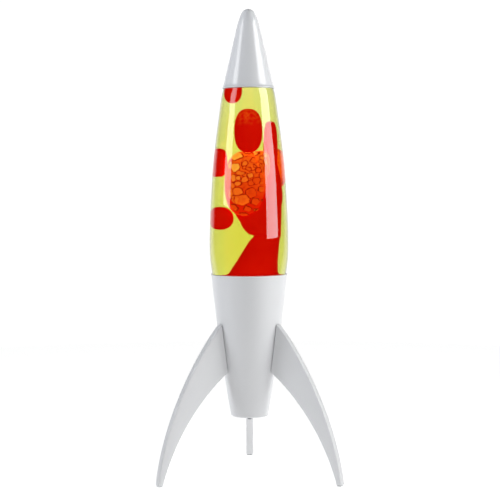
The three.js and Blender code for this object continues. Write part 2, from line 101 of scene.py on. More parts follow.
def from_arrays(name, points, faces, sharp=40):
    """A smooth-shaded mesh from points in millimetres about the lamp's axis."""
    mesh = bpy.data.meshes.new(name)
    placed = np.asarray(points, float) * MM + np.array(AXIS)
    mesh.from_pydata(placed.tolist(), [], faces)
    mesh.update()
    mesh.shade_smooth()
    mesh.set_sharp_from_angle(angle=math.radians(sharp))
    return link(name, mesh)


def ring_faces(rings, around, closed=False):
    """Faces between rings that follow one another. A closed row of rings meets its own start."""
    faces = []
    for i in range(rings if closed else rings - 1):
        low, high = i * around, (i + 1) % rings * around
        for k in range(around):
            nxt = (k + 1) % around
            faces.append((low + k, low + nxt, high + nxt, high + k))
    return faces


def pole_faces(rings, around):
    """Fans from the first and the last ring to the two points that come after all the rings."""
    first, last, top = rings * around, rings * around + 1, (rings - 1) * around
    faces = []
    for k in range(around):
        nxt = (k + 1) % around
        faces += [(first, nxt, k), (last, top + k, top + nxt)]
    return faces


def turned(name, profile, segments=SEGMENTS, ripple=None, sharp=40):
    """A profile of (radius, height) turned about the axis. It runs from axis to axis, or closes on itself.
    ripple(angle, r, z) may give each point another radius and height."""
    profile = [(float(r), float(z)) for r, z in profile]
    poles = abs(profile[0][0]) < 1e-6 and abs(profile[-1][0]) < 1e-6
    rows = profile[1:-1] if poles else profile
    angles = np.linspace(0, 2 * math.pi, segments, endpoint=False)
    points = []
    for r, z in rows:
        for angle in angles:
            shaped_r, shaped_z = ripple(angle, r, z) if ripple else (r, z)
            points.append((shaped_r * math.cos(angle), shaped_r * math.sin(angle), shaped_z))
    faces = ring_faces(len(rows), segments, closed=not poles)
    if poles:
        points += [(0, 0, profile[0][1]), (0, 0, profile[-1][1])]
        faces += pole_faces(len(rows), segments)
    piece = from_arrays(name, points, faces, sharp)
    face_outwards(piece)
    return piece


def face_outwards(piece):
    shape = bmesh.new()
    shape.from_mesh(piece.data)
    bmesh.ops.recalc_face_normals(shape, faces=shape.faces)
    if shape.calc_volume(signed=True) < 0:
        bmesh.ops.reverse_faces(shape, faces=shape.faces)
    shape.to_mesh(piece.data)
    shape.free()
    piece.data.shade_smooth()


def mesh_from(shape, name):
    """A mesh with the bmesh's shape. The bmesh is freed."""
    mesh = bpy.data.meshes.new(name)
    shape.to_mesh(mesh)
    shape.free()
    return mesh


def apply_modifiers(piece):
    """Makes its modifiers' result the piece's own mesh."""
    graph = bpy.context.evaluated_depsgraph_get()
    mesh = bpy.data.meshes.new_from_object(piece.evaluated_get(graph))
    piece.modifiers.clear()
    old = piece.data
    piece.data = mesh
    bpy.data.meshes.remove(old)


def sharpen(piece, degrees=40):
    piece.data.shade_smooth()
    piece.data.set_sharp_from_angle(angle=math.radians(degrees))


def arc(centre, radius, start, end, steps):
    angles = np.radians(np.linspace(start, end, steps + 1))
    return [(centre[0] + radius * math.cos(a), centre[1] + radius * math.sin(a)) for a in angles]


def spline(points, steps):
    """A smooth curve through the points, with so many steps from one to the next."""
    points = np.asarray(points, float)
    out = []
    for i in range(len(points) - 1):
        p0, p1 = points[max(i - 1, 0)], points[i]
        p2, p3 = points[i + 1], points[min(i + 2, len(points) - 1)]
        for t in np.linspace(0, 1, steps, endpoint=False):
            v0, v1 = (p2 - p0) / 2, (p3 - p1) / 2
            out.append(
                (2 * p1 - 2 * p2 + v0 + v1) * t**3 + (-3 * p1 + 3 * p2 - 2 * v0 - v1) * t**2 + v0 * t + p1
            )
    return [tuple(p) for p in out] + [tuple(points[-1])]


def bezier(controls, steps):
    """A Bezier curve of any degree."""
    controls = np.asarray(controls, float)
    degree = len(controls) - 1
    out = []
    for t in np.linspace(0, 1, steps + 1):
        weights = [math.comb(degree, k) * t**k * (1 - t) ** (degree - k) for k in range(degree + 1)]
        out.append(tuple(np.dot(weights, controls)))
    return out


def offset(points, distance):
    """The points moved to the left of the direction of travel. A point on the axis stays on it."""
    out = []
    for i, (r, z) in enumerate(points):
        before, after = np.array(points[max(i - 1, 0)]), np.array(points[min(i + 1, len(points) - 1)])
        along = (after - before) / np.linalg.norm(after - before)
        if abs(r) < 1e-9:
            out.append((0.0, z + math.copysign(distance, along[0])))
        else:
            out.append((r - along[1] * distance, z + along[0] * distance))
    return out


def eased(corners, radius, steps=3):
    """A closed outline with each corner rounded."""
    out = []
    count = len(corners)
    for i, corner in enumerate(corners):
        here = np.array(corner, float)
        before, after = np.array(corners[i - 1], float), np.array(corners[(i + 1) % count], float)
        into, away = before - here, after - here
        reach = min(radius, np.linalg.norm(into) * 0.45, np.linalg.norm(away) * 0.45)
        start = here + into / np.linalg.norm(into) * reach
        end = here + away / np.linalg.norm(away) * reach
        out += bezier([start, here, end], steps)
    return out


def finish_piece(piece, body, slot, material, *nodes):
    """Gives a piece its material and its body, and hides the CAD nodes that it stands for. The slot is not
    used.
    """
    piece.data.materials.clear()
    piece.data.materials.append(material)
    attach(piece, body)
    if nodes:
        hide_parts(*nodes)


# -------------------- material helpers
def new_material(name):
    material = bpy.data.materials.new(name)
    material.use_nodes = True
    tree = material.node_tree
    return material, tree, tree.nodes["Principled BSDF"]


def settings(shader, **values):
    """Sets a shader's sockets, or links others to them: base_color=... is the socket Base Color."""
    titles = {socket.name.lower().replace(" ", "_"): socket for socket in shader.inputs}
    for key, value in values.items():
        if isinstance(value, bpy.types.NodeSocket):
            shader.id_data.links.new(value, titles[key])
        else:
            titles[key].default_value = value


def feed(tree, value, socket):
    """Links another socket to this one, or sets it to a number or a colour."""
    if isinstance(value, bpy.types.NodeSocket):
        tree.links.new(value, socket)
    else:
        socket.default_value = (*value, 1) if isinstance(value, tuple) else value


def calculated(tree, operation, *values):
    """The result of a Math node on sockets or numbers."""
    node = tree.nodes.new("ShaderNodeMath")
    node.operation = operation
    for value, socket in zip(values, node.inputs):
        feed(tree, value, socket)
    return node.outputs["Value"]


def noise(tree, scale, detail=3.0, roughness=0.5):
    """Noise in the piece's own coordinates, scale in features a metre."""
    place = tree.nodes.new("ShaderNodeTexCoord")
    texture = tree.nodes.new("ShaderNodeTexNoise")
    texture.inputs["Scale"].default_value = scale
    texture.inputs["Detail"].default_value = detail
    texture.inputs["Roughness"].default_value = roughness
    tree.links.new(place.outputs["Object"], texture.inputs["Vector"])
    return texture.outputs["Fac"]


def ranged(tree, value, low, high, from_low=0.3, from_high=0.7):
    span = tree.nodes.new("ShaderNodeMapRange")
    limits = {"From Min": from_low, "From Max": from_high, "To Min": low, "To Max": high}
    for title, limit in limits.items():
        span.inputs[title].default_value = limit
    tree.links.new(value, span.inputs["Value"])
    return span.outputs["Result"]


def blended(tree, factor, first, second, how="MIX"):
    mix = tree.nodes.new("ShaderNodeMix")
    mix.data_type = "RGBA"
    mix.blend_type = how
    feed(tree, factor, mix.inputs["Factor"])
    feed(tree, first, mix.inputs["A"])
    feed(tree, second, mix.inputs["B"])
    return mix.outputs["Result"]


def absorbing(tree, color, density):
    """Tints the light that passes through, more where the material is thicker."""
    absorb = tree.nodes.new("ShaderNodeVolumeAbsorption")
    absorb.inputs["Color"].default_value = (*color, 1)
    absorb.inputs["Density"].default_value = density
    tree.links.new(absorb.outputs["Volume"], tree.nodes["Material Output"].inputs["Volume"])


def bumped(tree, shader, height, strength, distance):
    bump = tree.nodes.new("ShaderNodeBump")
    bump.inputs["Strength"].default_value = strength
    bump.inputs["Distance"].default_value = distance
    tree.links.new(height, bump.inputs["Height"])
    settings(shader, normal=bump.outputs["Normal"])


# -------------------- materials
def lacquer():
    """High-gloss white lacquer, with a trace of orange peel."""
    material, tree, shader = new_material("gloss_white_lacquer")
    tone = blended(tree, noise(tree, 18), (0.8, 0.81, 0.83), (0.83, 0.835, 0.85))
    settings(shader, base_color=tone)
    settings(shader, roughness=ranged(tree, noise(tree, 60), 0.09, 0.13))
    settings(shader, specular_ior_level=0.42)
    bumped(tree, shader, noise(tree, 420, 2), 0.08, 0.00005)
    return material


def powder_coat():
    """Satin white powder coat: a fine grain, and slightly uneven gloss."""
    material, tree, shader = new_material("satin_white_coat")
    tone = blended(tree, noise(tree, 14), (0.745, 0.75, 0.765), (0.785, 0.79, 0.8))
    settings(shader, base_color=tone)
    settings(shader, roughness=ranged(tree, noise(tree, 90), 0.3, 0.4))
    bumped(tree, shader, noise(tree, 1400, 2), 0.12, 0.00006)
    return material


def clear_glass():
    material, tree, shader = new_material("bottle_clear_glass")
    settings(shader, base_color=(0.985, 0.995, 0.985, 1), roughness=0.0, ior=1.5, transmission_weight=1.0)
    absorbing(tree, (0.47, 0.49, 0.46), 48.0)
    return material


def yellow_liquid():
    material, tree, shader = new_material("yellow_liquid")
    settings(shader, base_color=(1, 1, 1, 1), roughness=0.0, ior=1.33, transmission_weight=1.0)
    absorbing(tree, (0.9, 0.893, 0.02), 31.0)
    return material


WAX_PAINTED_GLOW, FROTH_PAINTED_GLOW = 1.14, 1.36  # painted glow: emission in the wax and the froth that stands in for the light falling on them
HIGHLIGHT_FLECK_LOW_Z, HIGHLIGHT_FLECK_FADE = 0.412, 0.014  # metres: where the painted highlight flecks begin, and the height they set in over


def red_wax(name, highlight_low_z=None):
    """Molten wax: deep red, with a painted glow. Above a height, in metres, it may hold orange flecks, a
    painted highlight on its top.
    """
    material, tree, shader = new_material(name)
    tone = blended(tree, noise(tree, 70, 4), (0.64, 0.003, 0.001), (0.74, 0.014, 0.002))
    if highlight_low_z:
        place = tree.nodes.new("ShaderNodeTexCoord")
        split = tree.nodes.new("ShaderNodeSeparateXYZ")
        tree.links.new(place.outputs["Object"], split.inputs["Vector"])
        high = ranged(tree, split.outputs["Z"], 0.0, 1.0, highlight_low_z, highlight_low_z + HIGHLIGHT_FLECK_FADE)
        # painted highlight: lighter orange flecks, broken up like mottling, only on the wax's top
        highlight_flecks = ranged(tree, noise(tree, 210, 5, 0.6), 0.0, 0.9, 0.42, 0.64)
        tone = blended(tree, calculated(tree, "MULTIPLY", high, highlight_flecks), tone, (0.95, 0.16, 0.015))
    settings(shader, base_color=tone)
    # painted glow: the wax's own tone is emitted, as if lit
    settings(shader, emission_color=tone)
    settings(
        shader,
        emission_strength=WAX_PAINTED_GLOW,
        roughness=0.45,
        specular_ior_level=0.05,
        subsurface_weight=0.6,
        subsurface_radius=(1.0, 0.12, 0.05),
        subsurface_scale=0.012,
        coat_weight=1.0,
        coat_ior=1.08,
        coat_roughness=0.4,
        coat_tint=(0.86, 0.5, 0.4, 1),
    )
    return material


def wax_foam():
    """Wax froth: each cell has its own tone with painted light towards its rim, dark seams where the cells
    meet, and a painted glow.
    """
    material, tree, shader = new_material("orange_wax_foam")
    cell = tree.nodes.new("ShaderNodeAttribute")
    cell.attribute_name = "cell_colour"
    grain = blended(tree, noise(tree, 260, 4), (0.7, 0.6, 0.6), (1, 1, 1))
    mottled = blended(tree, 0.2, cell.outputs["Color"], grain, "MULTIPLY")
    settings(shader, base_color=mottled)
    # painted glow: the froth's colour, its painted light included, is emitted
    settings(shader, emission_color=mottled)
    settings(
        shader,
        emission_strength=FROTH_PAINTED_GLOW,
        roughness=0.35,
        specular_ior_level=0.15,
        subsurface_weight=0.4,
        subsurface_radius=(1.0, 0.4, 0.1),
        subsurface_scale=0.004,
    )
    return material


def metal(name, color, rough_low, rough_high, scale, bump=0.05):
    """A metal whose roughness and tone vary with a noise."""
    material, tree, shader = new_material(name)
    grain = noise(tree, scale, 5, 0.6)
    darker = tuple(c * 0.82 for c in color)
    settings(shader, base_color=blended(tree, grain, darker, color))
    settings(shader, roughness=ranged(tree, grain, rough_low, rough_high))
    settings(shader, metallic=1.0)
    bumped(tree, shader, noise(tree, scale * 4, 3), bump, 0.00005)
    return material


def plastic(name, color, rough_low, rough_high, scale, coat=0.0):
    material, tree, shader = new_material(name)
    grain = noise(tree, scale, 4)
    lighter = tuple(min(1.0, c * 1.25 + 0.004) for c in color)
    settings(shader, base_color=blended(tree, grain, color, lighter))
    settings(shader, roughness=ranged(tree, grain, rough_low, rough_high))
    settings(shader, coat_weight=coat)
    bumped(tree, shader, noise(tree, scale * 6, 2), 0.06, 0.00004)
    return material


def frosted_bulb():
    material, tree, shader = new_material("frosted_bulb_glass")
    tone = blended(tree, noise(tree, 40), (0.8, 0.8, 0.79), (0.88, 0.88, 0.86))
    settings(shader, base_color=tone)
    settings(shader, roughness=0.35, transmission_weight=0.35, ior=1.5, coat_weight=0.6, coat_roughness=0.08)
    return material


LACQUER = lacquer()
COAT = powder_coat()
GLASS = clear_glass()
LIQUID = yellow_liquid()
WAX = red_wax("molten_red_wax")
HIGHLIGHT_FLECKED_WAX = red_wax("flecked_red_wax", HIGHLIGHT_FLECK_LOW_Z)
FOAM = wax_foam()
ZINC = metal("zinc_plated_steel", (0.66, 0.68, 0.72), 0.34, 0.5, 500)
STEEL = metal("rolled_steel", (0.5, 0.51, 0.52), 0.3, 0.5, 240)
ALUMINIUM = metal("turned_aluminium", (0.7, 0.71, 0.73), 0.3, 0.45, 320)
BRASS = metal("rolled_brass", (0.74, 0.52, 0.2), 0.22, 0.38, 400)
BAKELITE = plastic("black_bakelite", (0.012, 0.011, 0.011), 0.25, 0.4, 120, coat=0.3)
NYLON = plastic("black_nylon", (0.014, 0.014, 0.015), 0.42, 0.58, 300)
CERAMIC = plastic("cream_ceramic", (0.7, 0.66, 0.56), 0.2, 0.35, 200, coat=0.5)
LINER = plastic("sealing_plastic", (0.62, 0.65, 0.67), 0.5, 0.65, 200)
PAD = plastic("soft_pad", (0.66, 0.68, 0.68), 0.5, 0.7, 400)
BULB_GLASS = frosted_bulb()


# -------------------- profiles of the lamp
def cap_outline():
    """Outside of the nose cap, from its rim up to its tip."""
    ogive_r = CAP_RIM_R - CAP_SLOPE * (OGIVE_Z - CAP_RIM_Z)
    rise = TIP_Z - OGIVE_Z
    tip_r = ogive_r - (CAP_SLOPE + TIP_SLOPE) / 2 * rise
    middle = (ogive_r - CAP_SLOPE * rise / 2, OGIVE_Z + rise / 2)
    ogive = bezier([(ogive_r, OGIVE_Z), middle, (tip_r, TIP_Z)], 12)
    centre_z = TIP_Z - TIP_SLOPE * tip_r
    tip_radius = math.hypot(tip_r, TIP_Z - centre_z)
    tip = arc((0, centre_z), tip_radius, math.degrees(math.atan(TIP_SLOPE)), 90, 14)
    cone = [(CAP_RIM_R - CAP_SLOPE * (z - CAP_RIM_Z), z) for z in np.linspace(CAP_RIM_Z, OGIVE_Z, 24)]
    return cone[:-1] + ogive + tip[1:-1] + [(0, centre_z + tip_radius)]


def bottle_outline():
    """Outside of the bottle, from the middle of its bottom up to its mouth."""
    side = [
        (HEEL_R, BOTTLE_BOTTOM_Z + HEEL_ROUND),
        (40.3, 222),
        (43.5, BASE_RIM_Z),
        (46.4, 266),
        (45.5, 311),
        (41.9, 368),
        (34.9, 424.7),
        (29.3, CAP_RIM_Z),
        (17.5, 479),
        (NECK_R, 488),
    ]
    heel = arc((HEEL_R - HEEL_ROUND, BOTTLE_BOTTOM_Z + HEEL_ROUND), HEEL_ROUND, -90, 0, 8)[:-1]
    rises = [(0, PUNT_RISE), (14, 1.2), (28, 0.4)]
    punt = spline([(r, BOTTLE_BOTTOM_Z + rise) for r, rise in rises], 5)
    return punt + heel + spline(side, 8) + [(NECK_R, BOTTLE_MOUTH_Z)]


def base_radius(z):
    drop = BASE_RIM_Z - z
    return BASE_RIM_R - BASE_SLOPE * drop - BASE_CURVE * drop * drop


def base_side(low, high, outwards, steps):
    return [(base_radius(z) + outwards, z) for z in np.linspace(low, high, steps + 1)]


# -------------------- nose cap and bottle top
RIM_BEAD_R = 0.7  # the rolled edges of the cap and of the cone
# the ring of painted shadow inside the cap's rim: its inset, rise and section radius
SHADOW_RING_INSET, SHADOW_RING_RISE, SHADOW_RING_R = 0.75, 0.45, 0.38


def nose_cap():
    outer = cap_outline()
    inner = offset(outer, CAP_WALL)
    bead = arc((CAP_RIM_R - 0.15, CAP_RIM_Z + 0.8 + RIM_BEAD_R), RIM_BEAD_R, -150, 62, 12)
    outer = [p for p in outer if p[1] > bead[-1][1] + 0.5]
    inner = [p for p in inner if p[1] > CAP_RIM_Z + 2.3]
    profile = inner[::-1] + bead + outer
    cap = turned("nose_cap_shell", profile)
    finish_piece(cap, "cap", "gloss_white_paint", LACQUER, "nose_cap")


def cap_shadow_ring():
    """A bare steel ring inside the cap's rim that stands for painted shadow: it shows as a thin dark line
    against the glass, where the rim's shade falls.
    """
    lip = arc((CAP_RIM_R - SHADOW_RING_INSET, CAP_RIM_Z + SHADOW_RING_RISE), SHADOW_RING_R, 0, 360, 16)[:-1]
    edge = turned("nose_cap_rolled_edge", lip)
    finish_piece(edge, "cap", "gloss_white_paint", STEEL, "nose_cap")


CROWN_TEETH = 21


def crown_cap():
    """A crimped crown cap: the skirt's teeth grow from a plain top."""
    top, skirt = highest("crown_cap"), lowest("crown_cap")
    outer = [(0, top), (11, top), (13.6, top - 0.5), (14.8, top - 1.8)]
    outer += [(15.0, skirt + 1.2), (15.3, skirt + 0.3)]
    inner = [(14.9, skirt), (14.4, skirt + 0.5), (NECK_R + 0.7, skirt + 1.6), (NECK_R + 0.6, top - 1.4)]
    profile = inner[::-1] + outer[::-1]
    profile = [(0, top - 0.5), (12.8, top - 0.5)] + profile

    def teeth(angle, r, z):
        depth = max(0.0, min(1.0, (top - 1.5 - z) / 3))
        return r + 0.55 * depth * math.cos(CROWN_TEETH * angle), z

    crown = turned("crown_cap_crimped", profile, CROWN_TEETH * 10, teeth)
    finish_piece(crown, "bottle", "zinc_plate", ZINC, "crown_cap")


def crown_liner():
    low, high = heights("crown_liner")
    profile = [(0, low), (NECK_R - 0.9, low), (NECK_R - 0.3, low + 0.2), (NECK_R - 0.2, high), (0, high)]
    liner = turned("crown_liner_disc", profile, 96)
    finish_piece(liner, "bottle", "cap_liner", LINER, "crown_liner")


# -------------------- bottle and liquid
BOTTLE_OUTER = bottle_outline()


def bottle():
    inner = offset(BOTTLE_OUTER, GLASS_WALL)
    inner[-1] = (NECK_R - GLASS_WALL, BOTTLE_MOUTH_Z - 0.6)
    outer = BOTTLE_OUTER[:-1] + [(NECK_R, BOTTLE_MOUTH_Z - 0.6)]
    lip = arc((NECK_R - GLASS_WALL / 2, BOTTLE_MOUTH_Z - 0.6), GLASS_WALL / 2, 0, 180, 8)[1:-1]
    lip = [(r, BOTTLE_MOUTH_Z - 0.6 + (z - BOTTLE_MOUTH_Z + 0.6) * 0.4) for r, z in lip]
    glass = turned("bottle_glass", outer + lip + inner[::-1])
    finish_piece(glass, "bottle", "bottle_glass", GLASS, "bottle")


OVERLAP = 0.06  # the liquid reaches into the glass by this, so no film of air shows between them


def liquid():
    lining = [p for p in offset(BOTTLE_OUTER, GLASS_WALL - OVERLAP) if p[1] < LIQUID_TOP_Z - 0.5]
    edge = lining[-1][0] + (LIQUID_TOP_Z - lining[-1][1]) * (lining[-1][0] - lining[-2][0]) / (
        lining[-1][1] - lining[-2][1]
    )
    body = turned("yellow_liquid_fill", lining + [(edge, LIQUID_TOP_Z), (0, LIQUID_TOP_Z)])
    finish_piece(body, "bottle", "yellow_liquid", LIQUID, "liquid")


# -------------------- wax
def lump(name, centre, semi, bend=None, rings=32):
    """An egg shape in millimetres. bend(x, y, z) may move its points, given as shares of its half sizes."""
    tilts = np.linspace(-math.pi / 2, math.pi / 2, rings + 1)[1:-1]
    turns = np.linspace(0, 2 * math.pi, rings * 2, endpoint=False)
    tilt, turn = (grid.ravel() for grid in np.meshgrid(tilts, turns, indexing="ij"))
    x, y, z = np.cos(tilt) * np.cos(turn), np.cos(tilt) * np.sin(turn), np.sin(tilt)
    if bend:
        x, y, z = bend(x, y, z)
    points = np.stack([x, y, z], axis=1).tolist() + [[0, 0, -1], [0, 0, 1]]
    faces = ring_faces(rings - 1, rings * 2) + pole_faces(rings - 1, rings * 2)
    return from_arrays(name, np.array(points) * semi + centre, faces)


def squarish(power):
    """Makes an egg fuller, like a drop pressed into a short column."""

    def bend(x, y, z):
        swell = (1 - np.abs(z) ** power) ** (1 / power) / np.hypot(x, y)
        return x * swell, y * swell, z

    return bend


def melt(name, parts, voxel=0.8, rounds=4):
    """Joins overlapping lumps into one smooth mass."""
    graph = bpy.context.evaluated_depsgraph_get()
    joined = bmesh.new()
    for part in parts:
        joined.from_mesh(part.evaluated_get(graph).data)
        bpy.data.objects.remove(part)
    mass = link(name, mesh_from(joined, name))
    remesh = mass.modifiers.new("join", "REMESH")
    remesh.mode = "VOXEL"
    remesh.voxel_size = voxel * MM
    smooth = mass.modifiers.new("ease", "SMOOTH")
    smooth.iterations = rounds
    apply_modifiers(mass)
    mass.data.shade_smooth()
    return mass


POOL_TOP_Z = 237
# Height, sideways middle, half width, and depth as a share of the half width
COLUMN = [
    (226, 3.5, 33, 1),
    (POOL_TOP_Z, 3.5, 31, 1),
    (239.6, 3.6, 28.6, 1),
    (241.3, 3.75, 22.6, 1),
    (248, 5.2, 20.5, 0.95),
    (256, 7.4, 18.4, 0.95),
    (267, 10.6, 16, 0.95),
    (278, 13.8, 13.8, 0.95),
    (284.6, 16.6, 12.3, 0.95),
    (286.4, 14.4, 14.6, 0.95),
    (293.2, 11.9, 17.1, 0.9),
    (300.5, 10.6, 18.4, 0.85),
    (307.6, 8.9, 20.1, 0.8),
    (317, 7.4, 21.6, 0.75),
    (330, 8.2, 22, 0.75),
    (342, 12, 17.4, 0.75),
    (354, 16, 12, 0.75),
    (366, 18, 8, 0.75),
]
COLUMN_BACK, BACK_LOW_Z, BACK_RISE = 2.5, 290, 20  # above that height it moves back, behind the froth
WAX_CLEARANCE = 0.25  # between the pool and the glass


def wax_column():
    """The pool, the column that rises from it and the finger at its right, melted into one."""
    lining = offset(BOTTLE_OUTER, GLASS_WALL + WAX_CLEARANCE)
    pool = [p for p in lining if p[1] < POOL_TOP_Z]
    pool_piece = turned("pool", pool + [(pool[-1][0] - 1.5, POOL_TOP_Z), (0, POOL_TOP_Z)], 96)
    rows, around = spline(COLUMN, 4), 72
    points = []
    for z, lean, r, depth in rows:
        back = COLUMN_BACK * min(1.0, max(0.0, (z - BACK_LOW_Z) / BACK_RISE))
        for k in range(around):
            angle = 2 * math.pi * k / around
            points.append((lean + r * math.cos(angle), back + r * depth * math.sin(angle), z))
    faces = ring_faces(len(rows), around)
    faces.append(tuple(range(around))[::-1])
    faces.append(tuple(range((len(rows) - 1) * around, len(rows) * around)))
    column = from_arrays("column", points, faces)
    finger = lump("finger", (18.9, 4, 358), (6.3, 8.5, 59.4), squarish(4))
    mass = melt("wax_column_mass", [pool_piece, column, finger])
    finish_piece(mass, "bottle", "red_wax", WAX, "wax_column")


def blobs():
    """The four free blobs, each on a body of its own."""
    shapes = {
        "top": ((-14.8, -2.6, 454), (9.1, 8.2, 15.4), squarish(2.3)),
        "middle": ((-0.3, -13.1, 406.6), (13.8, 11.8, 25.5), squarish(2.45)),
        "left": ((-27.3, 6, 369.4), (9, 8.4, 16.6), squarish(3.2)),
        "low": ((-26.4, 0, 304.8), (12.8, 12.6, 13.4), squarish(2.2)),
    }
    for name, (centre, semi, bend) in shapes.items():
        blob = lump(f"wax_drop_{name}", centre, semi, bend, rings=64)
        wax = HIGHLIGHT_FLECKED_WAX if name == "middle" else WAX
        finish_piece(blob, f"blob_{name}", "red_wax", wax, f"wax_blob_{name}")


# Bubbles on the front of the froth: sideways place, height, half width, half height, and warmth from red to
# amber. A bubble lies over those after it.
BUBBLES = [
    (-3.3, 368, 3.6, 3.4, 0.45), (4.2, 371.4, 4, 3.8, 0.3), (5.7, 365.4, 2.4, 2.4, 0.3),
    (0, 362.6, 3.4, 2.6, 0.25), (1.2, 368.8, 9, 9.8, 0.3), (-10.8, 376.5, 7.6, 5.4, 1),
    (-13, 364, 5.8, 5.8, 1), (7.6, 379.9, 5.6, 2.8, 0.9), (-1, 381, 4.4, 3, 0.7),
    (12.5, 371, 2.8, 2.6, 0.3), (12.5, 366.2, 2, 2, 0.3), (13, 376, 3.2, 3, 0.5),
    (9.5, 360.7, 4, 3.4, 0.1), (-8.5, 358, 5.6, 2.8, 0.45), (1.6, 355.1, 3.9, 3.3, 0.5),
    (-4, 355.6, 3, 2.6, 0.3), (-10.4, 352.1, 3, 2.8, 0.6), (-4.4, 350, 3.9, 3.8, 0.45),
    (-11.2, 345.7, 4.4, 2.9, 0.5), (-15.6, 352, 3.8, 5, 0.6), (-16.6, 343, 3.4, 4.4, 0.45),
    (8, 349, 4.6, 4.4, 0.05), (2.5, 346.4, 4.2, 3.6, 0.05), (12.6, 354, 3.4, 3.2, 0.15),
    (12.4, 346.4, 2.6, 2.6, 0.2), (-11.5, 336.6, 6.2, 5.2, 0.45), (-7, 327, 9, 7.2, 0.4),
    (-13, 327.6, 5.2, 6, 0.45), (12.5, 338.8, 4, 3.8, 0.25), (13.2, 326.4, 2.6, 2.4, 0.45),
    (2.5, 335, 6.4, 6.2, 0.02), (6, 325, 4.6, 4.6, 0.05), (-11.9, 316.2, 2.4, 2.3, 0.45),
    (-13.2, 318, 5.2, 4.4, 0.15), (5, 315.7, 2.5, 2.5, 0.4), (10.2, 314, 8.2, 5.3, 0.1),
    (-1.5, 317, 4.4, 4, 0.05), (-4.4, 310, 5, 4, 0), (-17.2, 334, 4, 7, 0.5), (-17.6, 366, 3.4, 6, 0.9),
]
SHOULDER_BUBBLES = [
    (7.6, 379.9, 5.6, 2.8, 0.9), (15.5, 377.5, 3.6, 3.6, 0.8), (12.5, 371, 2.8, 2.6, 0.3),
    (12.5, 366.2, 2, 2, 0.3), (13, 375, 3.2, 3, 0.5), (17.2, 370, 3.4, 4, 0.7),
    (9.5, 360.7, 4, 3.4, 0.1), (16, 362, 3, 3.2, 0.3),
]
WAX_RED, WAX_ORANGE, WAX_AMBER = (0.66, 0.012, 0.001), (0.92, 0.13, 0.01), (0.98, 0.4, 0.06)
BUBBLE_LINE = (0.3, 0.008, 0.001)
LINE_WIDTH = 0.8  # how far a bubble's outline reaches to each side
BULGE = 0.26  # a bubble's height as a share of its smaller half size
FROTH_SINK = 0.6  # how far the seams lie under the lump's own surface
SEAM_THROUGH = 0.4  # how strongly the outline of a bubble shows through one that lies over it


def mixed(low, high, share):
    """Rows of colours between two, by an array of shares."""
    share = np.clip(share, 0, 1)[:, None]
    return np.asarray(low) * (1 - share) + np.asarray(high) * share


def froth(name, centre, semi, fullness, rings, bubbles, extra, seed):
    """A lump of froth. Listed bubbles are on its front, and the extra ones are drawn at random all round."""
    draw = np.random.default_rng(seed)
    centre, semi = np.array(centre), np.array(semi)
    rows = []
    for x, z, half_x, half_z, warmth in bubbles:
        share = 1 - ((x - centre[0]) / semi[0]) ** 2 - ((z - centre[2]) / semi[2]) ** 2
        y = centre[1] - semi[1] * math.sqrt(max(share, 0.04))
        rows.append((x, y, z, half_x, half_z, warmth, 1.0))
    for _ in range(extra):
        way = draw.normal(size=3)
        spot = centre + way / np.linalg.norm(way) * semi
        size = draw.uniform(1.1, 3.8) if way[1] > -0.2 else draw.uniform(0.7, 1.5)
        rise = (spot[2] - centre[2]) / semi[2] * 0.35 + 0.3
        rows.append((*spot, size, size * draw.uniform(0.7, 1.0), rise * draw.uniform(0.2, 1.2), 0.5))
    head = lump(name, centre, semi, squarish(fullness), rings=rings)
    count = len(head.data.vertices)
    places = np.empty(count * 3)
    head.data.vertices.foreach_get("co", places)
    places = (places.reshape(-1, 3) - np.array(AXIS)) / MM
    outwards = (places - centre) / semi**2
    outwards /= np.linalg.norm(outwards, axis=1)[:, None]
    wobble = 0.45 * np.sin(places[:, [1, 2, 0]] * 0.9 + 1) + 0.3 * np.sin(places[:, [2, 0, 1]] * 1.7)
    warped = places + wobble

    colour = mixed(WAX_RED, WAX_ORANGE, (places[:, 2] - 324) / 60)
    relief = np.zeros(count)
    seams = np.zeros((count, 1))
    for x, y, z, half_x, half_z, warmth, weight in rows[::-1]:
        away = warped - np.array([x, y, z])
        reach = np.hypot(np.hypot(away[:, 0], away[:, 1]) / half_x, away[:, 2] / half_z)
        inside = reach < 1.08
        near = reach[inside]
        full = np.full(near.shape, float(np.clip(warmth * 2, 0, 1)))
        tone = mixed(WAX_RED, WAX_ORANGE, full * 0.7 + 0.3)
        tone = tone + (np.array(WAX_AMBER) - WAX_ORANGE) * max(0.0, warmth * 1.6 - 0.6)
        # painted light: each bubble is lighter towards its rim, most on its lower side, as if light were
        # caught there
        painted_light_low_side = 0.5 + 0.5 * np.clip(-away[inside, 2] / half_z, -1, 1)
        lit = 0.86 + 0.34 * np.clip((near - 0.35) / 0.4, 0, 1) * painted_light_low_side
        cover = 0.85 * weight * np.clip((1.0 - near) / 0.1, 0, 1)[:, None]
        under = colour[inside] * (1 - cover) + tone * lit[:, None] * cover
        line_width = LINE_WIDTH / min(half_x, half_z)
        line = weight * np.clip(1.3 - 1.3 * np.abs(near - 0.95) / line_width, 0, 1)[:, None]
        colour[inside] = under * (1 - line) + np.array(BUBBLE_LINE) * line
        seams[inside] = np.maximum(seams[inside], SEAM_THROUGH * line)
        bulge = BULGE * min(half_x, half_z) * np.sqrt(np.clip(1 - near**2, 0, 1)) * weight
        relief[inside] = np.maximum(relief[inside] * 0.6, bulge)
    colour = colour * (1 - seams) + np.array(BUBBLE_LINE) * seams
    places += outwards * (relief - FROTH_SINK)[:, None]
    head.data.vertices.foreach_set("co", (places * MM + np.array(AXIS)).ravel())
    head.data.update()
    paint = head.data.color_attributes.new("cell_colour", "FLOAT_COLOR", "POINT")
    paint.data.foreach_set("color", np.hstack([colour, np.ones((count, 1))]).ravel())
    finish_piece(head, "bottle", "wax_foam", FOAM, "wax_foam")


